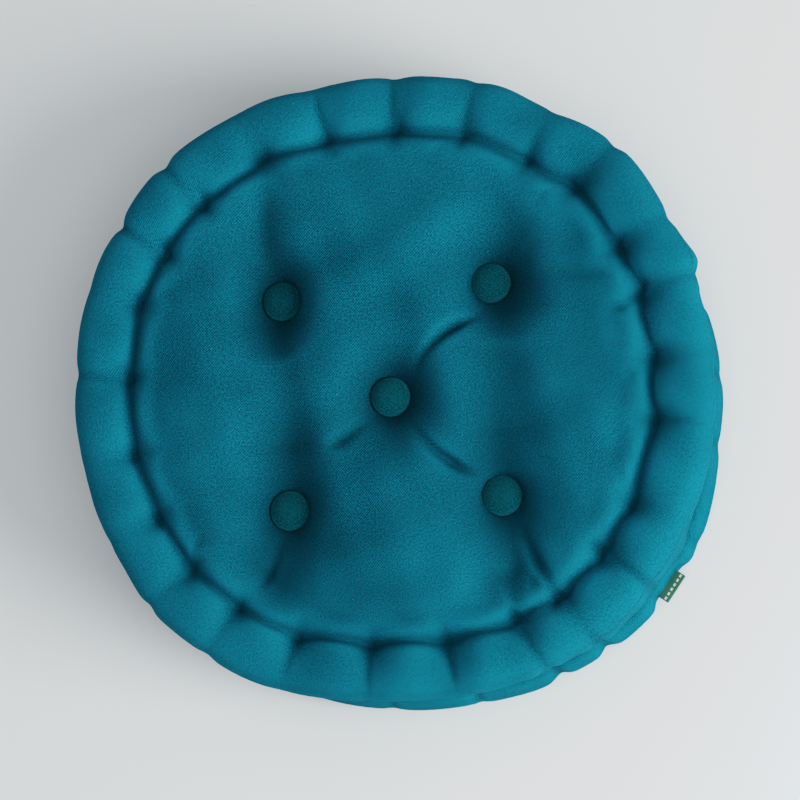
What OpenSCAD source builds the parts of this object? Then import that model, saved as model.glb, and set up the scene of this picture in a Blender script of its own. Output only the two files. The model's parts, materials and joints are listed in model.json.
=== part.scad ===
// Round tufted floor cushion with a rolled, hand-tacked edge and ten covered buttons.
// Units are millimetres. +Z is up, and the origin is the middle of the underside.

/* [Cushion] */
// Diameter over the border rolls
cushion_d = 600; // [450:10:700]
// Thickness from the floor to the top of the rolls
cushion_h = 150; // [130:2:190]
// Thickness of the cover cloth
cloth_t = 1.2; // [0.8:0.1:2]
// Width of the cloth turned in at each seam
seam_allowance = 10; // [6:1:14]

/* [Border rolls] */
// Radius of the stuffed roll round each edge
roll_r = 23; // [20:1:26]
// Depth of the tacked channel inside the top and bottom rolls
channel_depth = 20; // [14:1:22]
// Radius that the waist between the two rolls is stuffed to, seen in section
waist_r = 64; // [50:2:90]
// How far the waist stays inside the rolls
waist_inset = 6; // [4:1:10]
// Number of tacks round each roll
tack_count = 25; // [16:1:32]
// Length of thread that shows at each end of a tack
tack_bar = 7; // [4:1:10]

/* [Tufting] */
// Side of the square that the four outer buttons stand on
button_pitch = 200; // [160:5:220]
// Diameter of a covered button
button_d = 38; // [29:1:40]
// Height of a covered button above its seat
button_h = 9.8; // [8:0.2:12]
// Depth of the dimple under each button
dimple_depth = 32; // [20:1:40]
// Radius of a dimple at the surface
dimple_r = 60; // [45:1:65]
// Diameter of the tufting twine
twine_d = 2; // [1.4:0.1:2.2]

/* [Label] */
// Place of the label round the edge, in degrees from +X
label_angle = -37; // [-180:1:180]
// Width of the woven tape
label_w = 30; // [15:1:40]
// Length of the flap outside the seam
label_out = 8; // [5:0.5:15]
// Thickness of one layer of the tape
tape_t = 0.45; // [0.3:0.05:0.5]

/* [Hidden] */
$fn = 96;
teal = "#0f7089";
button_teal = "#0d5c6b";
thread_teal = "#0a4d60";
steel = "#b8bcc0";
label_green = "#2f6b58";
wadding = "#efe9dc";
hemp = "#c9b891";

cushion_r = cushion_d / 2;
far = 2 * cushion_r;            // longer than anything that it cuts
touch_gap = 0.2;                // room between the filling and the cloth round it
thread_r = 0.45;                // sewing thread in the seams
tack_r = 0.8;                   // doubled thread of a tack
needle_hole_r = 6;              // opening under a button for its wire loop

// Section of the rolls: each is a tube, and the stuffed face inside it ends in a curve of the same radius.
tube_x = cushion_r - roll_r;
top_tube_z = cushion_h - roll_r;
bottom_tube_z = roll_r;
channel_rise = roll_r - channel_depth;
channel_half = sqrt(roll_r * roll_r - channel_rise * channel_rise);
channel_flat = 1;               // half of the channel's narrow floor
channel_x = tube_x - channel_half - channel_flat;
face_edge_x = tube_x - 2 * (channel_half + channel_flat);
channel_z = cushion_h - channel_depth;
waist_x = cushion_r - waist_inset - waist_r;

// Where a roll meets the waist, from the crossing of their two circles.
roll_to_waist = [waist_x - tube_x, cushion_h / 2 - top_tube_z];
centre_gap = norm(roll_to_waist);
toward = roll_to_waist / centre_gap;
across = [-toward[1], toward[0]];
groove_along = (roll_r * roll_r - waist_r * waist_r + centre_gap * centre_gap) / (2 * centre_gap);
groove_off = sqrt(roll_r * roll_r - groove_along * groove_along);
groove = [tube_x, top_tube_z] + groove_along * toward + groove_off * across;

// Tufting sites, as names and signs of X and Y.
sites = [
    ["centre", 0, 0],
    ["front_left", -1, -1],
    ["front_right", 1, -1],
    ["back_left", -1, 1],
    ["back_right", 1, 1]
];
sides = ["top", "bottom"];
button_pieces = ["cover", "shell", "back", "loop"];
seat_r = button_d / 2 + 2;
top_seat_z = cushion_h - dimple_depth;

// A covered button in its own frame: +Z is outwards and its seat is at Z 0.
rim_z = 2;                      // underside of the metal shell
cover_t = 0.8;                  // cloth round the shell
shell_t = 0.5;
rim_wall = 2.2;                 // straight part of the rim
fit = 0.05;                     // room between the button's own pieces
cover_r = button_d / 2;
shell_r = cover_r - cover_t - fit;
shell_h = button_h - rim_z - cover_t - fit;
hem_r = shell_r - shell_t - fit;
back_r = hem_r - cover_t - fit;
back_t = 1;
loop_r = 4.5;                   // bend radius of the wire loop
wire_r = 0.8;
eye_r = 4;                      // the twine's eye, linked through the wire loop
eye_z = -4.2;
pocket_depth = 10;              // room in the filling for the loop and the eye

label_gap = 1;                  // bend of the tape between the seam and the flap
tail_t = 2 * tape_t + 0.1;

// ---- Shape of the stuffed cushion ----

// Half of the cushion's section, shrunk on all sides by inset.
module section(inset) {
    r = roll_r - inset;
    for (z = [top_tube_z, bottom_tube_z]) {
        translate([tube_x, z]) circle(r);
        translate([face_edge_x, z]) circle(r);
    }
    intersection() {
        translate([waist_x, cushion_h / 2]) circle(waist_r - inset);
        translate([0, bottom_tube_z]) square([cushion_r, top_tube_z - bottom_tube_z]);
    }
    translate([0, inset]) square([face_edge_x, cushion_h - 2 * inset]);
    translate([0, bottom_tube_z]) square([tube_x, top_tube_z - bottom_tube_z]);
    channel_floor = cushion_h - channel_z + inset;
    translate([face_edge_x, channel_floor]) square([tube_x - face_edge_x, cushion_h - 2 * channel_floor]);
}

// One dimple, as the space that it takes out of a cushion shrunk by inset.
module dimple(inset) {
    run = dimple_r - seat_r;
    slant = norm([run, dimple_depth]);
    above = 1;
    translate([0, 0, top_seat_z - inset])
        cylinder(
            h = dimple_depth + inset + above,
            r1 = seat_r + inset * (slant - run) / dimple_depth,
            r2 = dimple_r + inset * slant / dimple_depth + above * run / dimple_depth
        );
}

// Mirrors a shape made for the top to the underside.
module on_side(side) {
    if (side == "top") children();
    else translate([0, 0, cushion_h]) mirror([0, 0, 1]) children();
}

module at_site(s) translate([s[1], s[2], 0] * button_pitch / 2) children();

module at_all_sites() for (side = sides) on_side(side) for (s = sites) at_site(s) children();

module stuffed_form(inset) {
    difference() {
        rotate_extrude() section(inset);
        at_all_sites() dimple(inset);
    }
}

// The whole skin of the cushion, one cloth thick.
module skin() {
    difference() {
        stuffed_form(0);
        stuffed_form(cloth_t);
    }
}

// The space of the side wall, between the two seams.
module side_zone() ring(cushion_r + roll_r, 2 * roll_r, bottom_tube_z, top_tube_z);

// ---- Cover ----

module ring(r_outer, width, z0, z1) {
    rotate_extrude() translate([r_outer - width, z0]) square([width, z1 - z0]);
}

// Cloth turned in at a seam, starting from height z and going up or down.
module turned_in(z, up) {
    z0 = up ? z : z - cloth_t;
    ring(cushion_r - cloth_t / 2, seam_allowance, z0, z0 + cloth_t);
}

module seam_groove(z) rotate_extrude() translate([seam_thread_x(), z]) circle(thread_r + fit);

function seam_thread_x() = cushion_r - seam_allowance / 2;

module label_slit() {
    along(label_angle)
        translate([cushion_r - seam_allowance - 0.5, -(label_w + 1) / 2, bottom_tube_z - tail_t / 2 - fit])
            cube([seam_allowance + 2, label_w + 1, tail_t + 2 * fit]);
}

module needle_holes() at_all_sites() translate([0, 0, top_seat_z - 2 * cloth_t])
    cylinder(h = 4 * cloth_t, r = needle_hole_r);

// The round panel of one face, with its dimples, from height z0 over half of the cushion.
module face_cloth(z0) {
    difference() {
        intersection() {
            skin();
            translate([-far / 2, -far / 2, z0]) cube([far, far, cushion_h / 2]);
        }
        side_zone();
        needle_holes();
    }
}

module top_panel() {
    color(teal) difference() {
        union() {
            face_cloth(cushion_h / 2);
            turned_in(top_tube_z, up = true);
        }
        seam_groove(top_tube_z);
    }
}

module bottom_panel() {
    color(teal) difference() {
        union() {
            face_cloth(0);
            turned_in(bottom_tube_z, up = false);
        }
        seam_groove(bottom_tube_z);
        label_slit();
    }
}

// The band's turned-in edges lie against those of the two panels.
module side_band() {
    color(teal) difference() {
        union() {
            intersection() {
                skin();
                side_zone();
            }
            turned_in(top_tube_z, up = false);
            turned_in(bottom_tube_z, up = true);
        }
        seam_groove(top_tube_z);
        seam_groove(bottom_tube_z);
        label_slit();
    }
}

// ---- Filling and tufting twine ----

module twine_room() {
    for (s = sites) at_site(s) {
        translate([0, 0, cushion_h / 2]) cylinder(h = cushion_h, r = twine_d / 2 + 0.6, center = true);
    }
    at_all_sites() translate([0, 0, top_seat_z - pocket_depth]) cylinder(h = pocket_depth, r = needle_hole_r);
}

module filling() {
    slot_w = seam_allowance + 2;
    color(wadding) difference() {
        stuffed_form(cloth_t + touch_gap);
        for (z = [top_tube_z, bottom_tube_z])
            ring(cushion_r, slot_w, z - cloth_t - touch_gap, z + cloth_t + touch_gap);
        twine_room();
    }
}

// Twine from eye to eye, one eye linked through each button's wire loop.
module twine() {
    eye_drop = eye_z - eye_r;
    color(hemp) union() {
        for (side = sides) on_side(side)
            translate([0, 0, top_seat_z + eye_z]) rotate([90, 0, 90])
                rotate_extrude() translate([eye_r, 0]) circle(wire_r + 0.1);
        translate([0, 0, cushion_h / 2])
            cylinder(h = 2 * (top_seat_z + eye_drop) - cushion_h, r = twine_d / 2, center = true);
    }
}

// ---- Threads ----

module along(angle) rotate([0, 0, angle]) children();

module seam_thread(z) color(thread_teal) rotate_extrude() translate([seam_thread_x(), z]) circle(thread_r);

// A short piece of thread across X, with round ends.
module thread_bar(length) {
    straight = length - 2 * tack_r;
    rotate([90, 0, 0]) cylinder(h = straight, r = tack_r, center = true);
    for (y = [-1, 1]) translate([0, y * straight / 2, 0]) sphere(tack_r);
}

// One tack: down through the channel, under the roll and out at the groove in its side.
module tack() {
    start = [channel_x, channel_z];
    run = groove - start;
    translate([start[0], 0, start[1]])
        rotate([0, atan2(run[0], run[1]), 0]) cylinder(h = norm(run), r = tack_r);
    translate([start[0], 0, start[1]]) thread_bar(tack_bar);
    translate([groove[0], 0, groove[1]]) thread_bar(tack_bar);
}

module edge_tacks(side) {
    color(thread_teal) on_side(side)
        for (i = [0:tack_count - 1]) along((i + 0.5) * 360 / tack_count) tack();
}

// Hand stitches across the join of the band, where the cushion was closed.
module closing_stitches() {
    join_angle = 140;
    stitch_count = 9;
    stitch_pitch = 5;
    slope = 20;
    color(thread_teal) along(join_angle)
        for (i = [0:stitch_count - 1]) {
            z = (i - (stitch_count - 1) / 2) * stitch_pitch;
            x = waist_x + sqrt(waist_r * waist_r - z * z);
            translate([x, 0, cushion_h / 2 + z]) rotate([slope, 0, 0]) thread_bar(tack_bar);
        }
}

// ---- Label ----

// The end of the tape that is caught between the turned-in edges of the bottom seam.
module label_tail() {
    color(label_green) along(label_angle)
        translate([cushion_r - seam_allowance, -label_w / 2, bottom_tube_z - tail_t / 2])
            cube([seam_allowance, label_w, tail_t]);
}

// The folded tape outside the seam: two layers that meet at the fold.
module label_flap() {
    color(label_green) along(label_angle)
        translate([cushion_r + label_gap, label_w / 2, bottom_tube_z]) rotate([90, 0, 0])
            linear_extrude(label_w) difference() {
                union() {
                    translate([0, -tail_t / 2]) square([label_out - tail_t / 2, tail_t]);
                    translate([label_out - tail_t / 2, 0]) circle(tail_t / 2);
                }
                translate([-1, -0.05]) square([label_out - tail_t / 2 + 1, 0.1]);
            }
}

// ---- Covered button ----

// A dome's half-section over the rim: an arc through the rim and the top.
module dome_section(r, h) {
    arc_r = (r * r + h * h) / (2 * h);
    intersection() {
        translate([0, h - arc_r]) circle(arc_r);
        square([r, h]);
    }
}

// Cloth over the shell, turned under the rim and up inside it.
module button_cover() {
    hem_z = rim_z - cover_t;
    color(button_teal) rotate_extrude() {
        difference() {
            translate([0, hem_z]) cup_section(cover_r, button_h - hem_z, rim_wall + cover_t);
            translate([0, rim_z - fit]) cup_section(shell_r + fit, shell_h + 2 * fit, rim_wall + fit);
            translate([0, hem_z - 1]) square([back_r + fit, cover_t + 1]);
        }
        translate([back_r + fit, hem_z]) square([cover_t - fit, cover_t + rim_wall]);
    }
}

// A straight rim with a dome on it.
module cup_section(r, h, wall) {
    square([r, wall]);
    translate([0, wall]) dome_section(r, h - wall);
}

module button_shell() {
    color(steel) rotate_extrude() translate([0, rim_z]) difference() {
        cup_section(shell_r, shell_h, rim_wall);
        translate([0, -fit]) cup_section(shell_r - shell_t, shell_h - shell_t + fit, rim_wall);
    }
}

// Pressed disc that closes the button, with two holes for the wire.
module button_back() {
    color(steel) difference() {
        translate([0, 0, rim_z - cover_t]) cylinder(h = back_t, r = back_r);
        for (x = [-1, 1]) translate([x * loop_r, 0, 0]) cylinder(h = 2 * rim_z, r = wire_r + 0.1);
    }
}

// Wire bent to a U, its ends through the back and joined over it.
module button_loop() {
    bar_z = rim_z - cover_t + back_t + wire_r + fit;
    color(steel) union() {
        rotate([90, 0, 0]) rotate_extrude(angle = -180) translate([loop_r, 0]) circle(wire_r);
        for (x = [-1, 1]) translate([x * loop_r, 0, 0]) {
            cylinder(h = bar_z, r = wire_r);
            translate([0, 0, bar_z]) sphere(wire_r);
        }
        translate([0, 0, bar_z]) rotate([0, 90, 0]) cylinder(h = 2 * loop_r, r = wire_r, center = true);
    }
}

module button_piece(p) {
    if (p == "cover") button_cover();
    if (p == "shell") button_shell();
    if (p == "back") button_back();
    if (p == "loop") button_loop();
}

// ---- What is drawn ----

top_panel();
side_band();
bottom_panel();
filling();
seam_thread(top_tube_z);  // top_seam_thread
seam_thread(bottom_tube_z);  // bottom_seam_thread
edge_tacks("top");  // top_edge_tacks
edge_tacks("bottom");  // bottom_edge_tacks
closing_stitches();
label_tail();
label_flap();
for (s = sites)
    at_site(s) twine();
for (side = sides, s = sites, p = button_pieces)
    on_side(side) at_site(s) translate([0, 0, top_seat_z]) button_piece(p);
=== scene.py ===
"""A round tufted floor cushion in teal cotton twill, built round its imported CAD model.

Everything is in metres, in the CAD frame. Each half of the cover is simulated cloth: it starts as the
CAD's rounded form with some spare length, is held at the buttons and tacks, is blown up from inside, and
lies on a relief of lobes, dimples and creases that face_height lays down.
"""

import json
import math

import bpy
import numpy as np
from mathutils import Matrix, Vector


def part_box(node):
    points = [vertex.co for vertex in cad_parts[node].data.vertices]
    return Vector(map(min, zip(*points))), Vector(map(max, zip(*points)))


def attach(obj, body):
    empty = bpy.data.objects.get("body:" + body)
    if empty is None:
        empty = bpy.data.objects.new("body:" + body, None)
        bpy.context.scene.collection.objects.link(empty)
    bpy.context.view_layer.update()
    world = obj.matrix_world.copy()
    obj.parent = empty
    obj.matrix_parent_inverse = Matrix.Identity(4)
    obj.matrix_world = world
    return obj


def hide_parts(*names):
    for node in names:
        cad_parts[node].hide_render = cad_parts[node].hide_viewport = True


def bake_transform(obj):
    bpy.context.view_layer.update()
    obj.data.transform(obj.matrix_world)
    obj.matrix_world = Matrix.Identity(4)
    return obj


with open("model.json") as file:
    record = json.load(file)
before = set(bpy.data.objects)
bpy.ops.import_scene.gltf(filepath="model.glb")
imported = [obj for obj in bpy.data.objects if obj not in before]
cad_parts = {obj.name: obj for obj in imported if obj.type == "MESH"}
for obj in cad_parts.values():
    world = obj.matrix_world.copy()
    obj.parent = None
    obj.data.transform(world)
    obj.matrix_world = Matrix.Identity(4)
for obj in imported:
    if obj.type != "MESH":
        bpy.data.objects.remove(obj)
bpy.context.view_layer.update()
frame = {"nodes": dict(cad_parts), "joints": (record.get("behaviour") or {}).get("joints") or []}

# ---- Sizes, from the CAD boxes ----

SITES = ("centre", "front_left", "front_right", "back_left", "back_right")
ROOT = "cushion"
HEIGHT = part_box("top_panel")[1].z
SEAM_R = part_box("top_panel")[1].x
SEAM_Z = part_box("side_band")[1].z
MID_Z = HEIGHT / 2
ROLL_R = HEIGHT - SEAM_Z                # radius of the rolled border
ROLL_X = SEAM_R - ROLL_R
CHANNEL_R, CHANNEL_Z = 0.2532, 0.130    # where the tacks pull the cloth down
WAIST_R = 0.064                         # radius of the side wall's bulge, in section
WAIST_X = SEAM_R - 0.006 - WAIST_R
low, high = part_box("top_button_centre_cover")
BUTTON_R = (high.x - low.x) / 2
SEAT_Z = low.z - 0.0009                 # the cloth's height under a button
BUTTONS = []
for site in SITES:
    low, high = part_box(f"top_button_{site}_cover")
    BUTTONS.append(((low.x + high.x) / 2, (low.y + high.y) / 2))

# ---- Cloth ----

SIDE = 112                              # cells along each side of the middle block of the grid
AROUND = 4 * SIDE                       # vertices in each ring outside it
CELL = 0.004
BLOCK_R, PLAIN_R = 0.155, 0.205         # the block's half width, and where the flat face ends
FACE_Z = 0.148
STEPS = 260
SPARE_X, SPARE_Y = 0.022, 0.012         # spare cloth across and along the face
# Where the tacks are round the border, and which of them pull hardest.
TACK_DEGREES = (-171, -156, -142, -128, -113, -96, -79, -63, -53, -40, -28, -10, 3,
                17, 28, 44, 56, 71, 86, 101, 115, 131, 144, 156, 172)
DEEP_TACKS = (-63, -53, -40, 17, 131, 144)
rng = np.random.default_rng(3)
TACK_PULL = np.where(np.isin(TACK_DEGREES, DEEP_TACKS), 1.9, rng.uniform(0.1, 1.1, len(TACK_DEGREES)))
# Creases of the face: start, end, sideways bow, width, depth.
CREASES = (
    ((0.022, 0.016), (0.086, 0.066), 0.007, 0.0046, 0.0115),
    ((0.018, -0.024), (0.076, -0.080), -0.006, 0.0046, 0.0105),
    ((-0.015, -0.015), (-0.058, -0.047), 0.003, 0.007, 0.0060),
    ((0.116, -0.126), (0.157, -0.212), -0.003, 0.0054, 0.0135),
    ((0.108, -0.120), (0.110, -0.250), 0.004, 0.0110, 0.0045),
    ((-0.108, -0.122), (-0.135, -0.180), 0.004, 0.0050, 0.0040),
    ((-0.113, 0.235), (-0.110, 0.122), 0.003, 0.0120, 0.0045),
    ((0.120, 0.097), (0.228, 0.090), 0.003, 0.0080, 0.0030),
)
# A short tuck runs inwards from each tack: its length, and its turn from straight in.
TUCKS = tuple(zip(rng.uniform(0.014, 0.040, len(TACK_DEGREES)), rng.uniform(-1.0, 1.0, len(TACK_DEGREES))))
# The broad hollows that part the face into three long lobes, in the same form.
HOLLOWS = (
    ((-0.114, 0.232), (-0.106, 0.020), 0.003, 0.027, 0.0205),
    ((-0.103, 0.090), (-0.103, -0.090), 0.000, 0.034, 0.0230),
    ((-0.104, -0.020), (-0.116, -0.215), -0.003, 0.032, 0.0150),
    ((0.110, 0.215), (0.103, 0.020), 0.003, 0.032, 0.0160),
    ((0.102, 0.090), (0.102, -0.090), 0.000, 0.033, 0.0220),
    ((0.103, -0.020), (0.110, -0.235), -0.003, 0.032, 0.0175),
)
CROWN_TOP = 0.1628
CHANNEL_RISE = 0.0180                   # how much shallower the channel is between tacks
RIM_LEVEL = 0.0035                      # how far up a button's rim the cloth lies
DIMPLE_R = 0.034                        # how fast the face rises from a button


def bell(x, width):
    """1 at nought, fading out over a few widths."""
    return np.exp(-((x / width) ** 2))


def smooth_step(t):
    """From 0 to 1 for t from 0 to 1, level at both ends."""
    return t * t * (3 - 2 * t)


def turn_between(a, b):
    """The turn from b to a, from -pi to pi."""
    return np.angle(np.exp(1j * (a - b)))


def axis_distance(points):
    return np.hypot(points[:, 0], points[:, 1])


def unit_vectors(angles):
    return np.stack([np.cos(angles), np.sin(angles)], -1)


def arc(centre, radius, start, end, count=60):
    """Points on an arc of a section, from start to end in degrees."""
    return np.array(centre) + radius * unit_vectors(np.radians(np.linspace(start, end, count)))


def groove_point():
    """Where the upper roll meets the waist, as (r, z)."""
    gap = np.array([WAIST_X - ROLL_X, MID_Z - SEAM_Z])
    length = np.hypot(*gap)
    gap /= length
    along = (ROLL_R**2 - WAIST_R**2 + length**2) / (2 * length)
    off = math.sqrt(ROLL_R**2 - along**2)
    return np.array([ROLL_X, SEAM_Z]) + along * gap + off * np.array([-gap[1], gap[0]])


GROOVE = groove_point()


def resample(path, cell):
    """The same path with points about cell apart."""
    length = np.concatenate([[0], np.cumsum(np.hypot(*np.diff(path, axis=0).T))])
    t = np.linspace(0, length[-1], max(2, round(length[-1] / cell)) + 1)
    return np.stack([np.interp(t, length, path[:, 0]), np.interp(t, length, path[:, 1])], -1)


def profile():
    """Rings from the flat face to the waist as (r, z), and which are the channel, seam, groove and waist."""
    def angle(point, centre):
        return math.degrees(math.atan2(point[1] - centre[1], point[0] - centre[0]))

    tube, waist = (ROLL_X, SEAM_Z), (WAIST_X, MID_Z)
    shoulder = arc((0.2254, FACE_Z - 0.024), 0.024, 90, 35)
    parts = [
        np.concatenate([[[PLAIN_R, FACE_Z]], shoulder, [[CHANNEL_R, CHANNEL_Z]]]),
        arc(tube, ROLL_R, angle((CHANNEL_R, CHANNEL_Z), tube), 0),
        arc(tube, ROLL_R, 0, angle(GROOVE, tube)),
        arc(waist, WAIST_R, angle(GROOVE, waist), 0),
    ]
    rings, marks = [np.array([[PLAIN_R, FACE_Z]])], []
    for part in parts:
        rings.append(resample(part, CELL)[1:])
        marks.append(sum(len(r) for r in rings) - 1)
    return np.concatenate(rings), marks


def cloth_grid():
    """Half of the cover as one grid: a square block in the middle, and rings round it down to the waist."""
    n = SIDE
    block = np.arange((n + 1) ** 2).reshape(n + 1, n + 1)
    u, v = np.meshgrid(np.linspace(-1, 1, n + 1), np.linspace(-1, 1, n + 1), indexing="ij")
    disc = np.stack([u * np.sqrt(1 - v * v / 2), v * np.sqrt(1 - u * u / 2)], -1)
    flat = (0.55 * disc + 0.45 * 0.86 * np.stack([u, v], -1)) * BLOCK_R
    c = math.cos(math.pi / 4)
    # Turned so that its corners miss the buttons.
    flat = (flat @ np.array([[c, c], [-c, c]])).reshape(-1, 2)
    edge = np.concatenate([block[:-1, 0], block[-1, :-1], block[:0:-1, -1], block[0, :0:-1]])
    inside = np.concatenate([block[:-1, 1], block[-2, :-1], block[:0:-1, -2], block[1, :0:-1]])
    for k, corner in enumerate((block[1, 1], block[-2, 1], block[-2, -2], block[1, -2])):
        inside[k * n] = corner
    start = math.atan2(flat[0, 1], flat[0, 0])
    theta = start + np.arange(AROUND) * 2 * math.pi / AROUND
    unit = unit_vectors(theta)

    def level(points, z):
        return np.concatenate([points, np.full((len(points), 1), z)], 1)

    points, rings = [level(flat, FACE_Z)], [edge]
    steps = round((PLAIN_R - BLOCK_R) / 0.0032)
    shape, marks = profile()
    for k in range(1, steps):
        t = k / steps
        points.append(level((1 - t) * flat[edge] + t * PLAIN_R * unit, FACE_Z))
    for r, z in shape:
        points.append(level(r * unit, z))
    for k in range(1, len(points)):
        rings.append((n + 1) ** 2 + (k - 1) * AROUND + np.arange(AROUND))
    return np.concatenate(points), block, np.array(rings), inside, theta, [steps + m for m in marks]


def springs(block, rings, inside):
    """Groups of springs as (kind, ends a, ends b), each solved at once.

    No vertex is in a group twice, apart from the corners of the block in the last group.
    """
    right, right2, left = np.roll(rings, -1, 1), np.roll(rings, -2, 1), np.roll(rings, 1, 1)
    groups = []

    def every_other_pair(count, parity):
        i = np.arange(count)
        return i[(i % 4) // 2 == parity]

    for q in (0, 1):
        groups += [
            ("stretch", block[:-1][q::2], block[1:][q::2]),
            ("stretch", block[:, :-1][:, q::2], block[:, 1:][:, q::2]),
            ("shear", block[:-1, :-1][q::2], block[1:, 1:][q::2]),
            ("shear", block[:-1, 1:][q::2], block[1:, :-1][q::2]),
            ("round", rings[1:, q::2], right[1:, q::2]),
            ("out", rings[:-1][q::2], rings[1:][q::2]),
            ("shear", rings[:-1][q::2], right[1:][q::2]),
            ("shear", rings[:-1][q::2], left[1:][q::2]),
        ]
        rows = every_other_pair(SIDE - 1, q)
        groups += [
            ("bend", block[:-2][rows], block[2:][rows]),
            ("bend", block[:, :-2][:, rows], block[:, 2:][:, rows]),
        ]
        columns = every_other_pair(AROUND, q)
        rows = every_other_pair(len(rings) - 2, q)
        groups += [
            ("bend", rings[1:, columns], right2[1:, columns]),
            ("bend", rings[:-2][rows], rings[2:][rows]),
        ]
    groups.append(("bend", inside, rings[1]))
    return [(kind, a.ravel(), b.ravel()) for kind, a, b in groups]


def grid_faces(block, rings):
    """Quads of the block and of the rings, facing outwards."""
    right = np.roll(rings, -1, 1)
    return (
        np.stack([block[:-1, :-1], block[1:, :-1], block[1:, 1:], block[:-1, 1:]], -1).reshape(-1, 4),
        np.stack([rings[:-1], rings[1:], right[1:], right[:-1]], -1),
    )


def scatter(ids, values, count):
    return np.stack([np.bincount(ids, values[:, c], count) for c in range(3)], 1)


def vertex_normals(points, faces):
    cross = np.cross(points[faces[:, 2]] - points[faces[:, 0]], points[faces[:, 3]] - points[faces[:, 1]])
    out = sum(scatter(faces[:, k], cross, len(points)) for k in range(4))
    return out / (np.linalg.norm(out, axis=1)[:, None] + 1e-12)


def crease_field(x, y, creases):
    """How deep the creases are at each point of the face."""
    depth = np.zeros(len(x))
    for start, end, bow, width, most in creases:
        s, e = np.array(start), np.array(end)
        run = e - s
        length = np.hypot(*run)
        run /= length
        t = ((x - s[0]) * run[0] + (y - s[1]) * run[1]) / length
        away = -(x - s[0]) * run[1] + (y - s[1]) * run[0] - bow * 4 * t * (1 - t)
        taper = np.clip(np.minimum(t + 0.12, (1.12 - t) * 2.2), 0, 1)
        taper = np.where((t > -0.12) & (t < 1.12), smooth_step(taper), 0)
        depth = np.maximum(depth, most * taper * bell(away, width))
    return depth


def tucks():
    """The tucks in the form of the other creases."""
    out = []
    for degrees, most, (length, lean) in zip(TACK_DEGREES, TACK_PULL, TUCKS):
        a = math.radians(degrees)
        start = (CHANNEL_R * math.cos(a), CHANNEL_R * math.sin(a))
        end = (start[0] - length * math.cos(a + lean), start[1] - length * math.sin(a + lean))
        out.append((start, end, 0.1 * length * math.copysign(1, lean), 0.0052, 0.0025 + 0.0035 * most))
    return tuple(out)


def face_height(x, y, folds):
    """The height of the wadding under the cloth: a low dome in three lobes, dimpled at the buttons."""
    def lobes(x, y):
        return CROWN_TOP - 0.0165 * np.clip(np.hypot(x, y) / 0.240, 0, 1) ** 3.2 - crease_field(x, y, HOLLOWS)

    z = lobes(x, y) - crease_field(x, y, folds)
    for bx, by in BUTTONS:
        d = np.hypot(x - bx, y - by)
        deep = lobes(np.array([bx]), np.array([by])) - SEAT_Z - RIM_LEVEL
        z -= deep * np.exp(-np.maximum(d - BUTTON_R, 0) / DIMPLE_R)
        z = np.where(d < BUTTON_R - 0.0015, SEAT_Z, z)
    return np.maximum(z, SEAT_Z)


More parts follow.
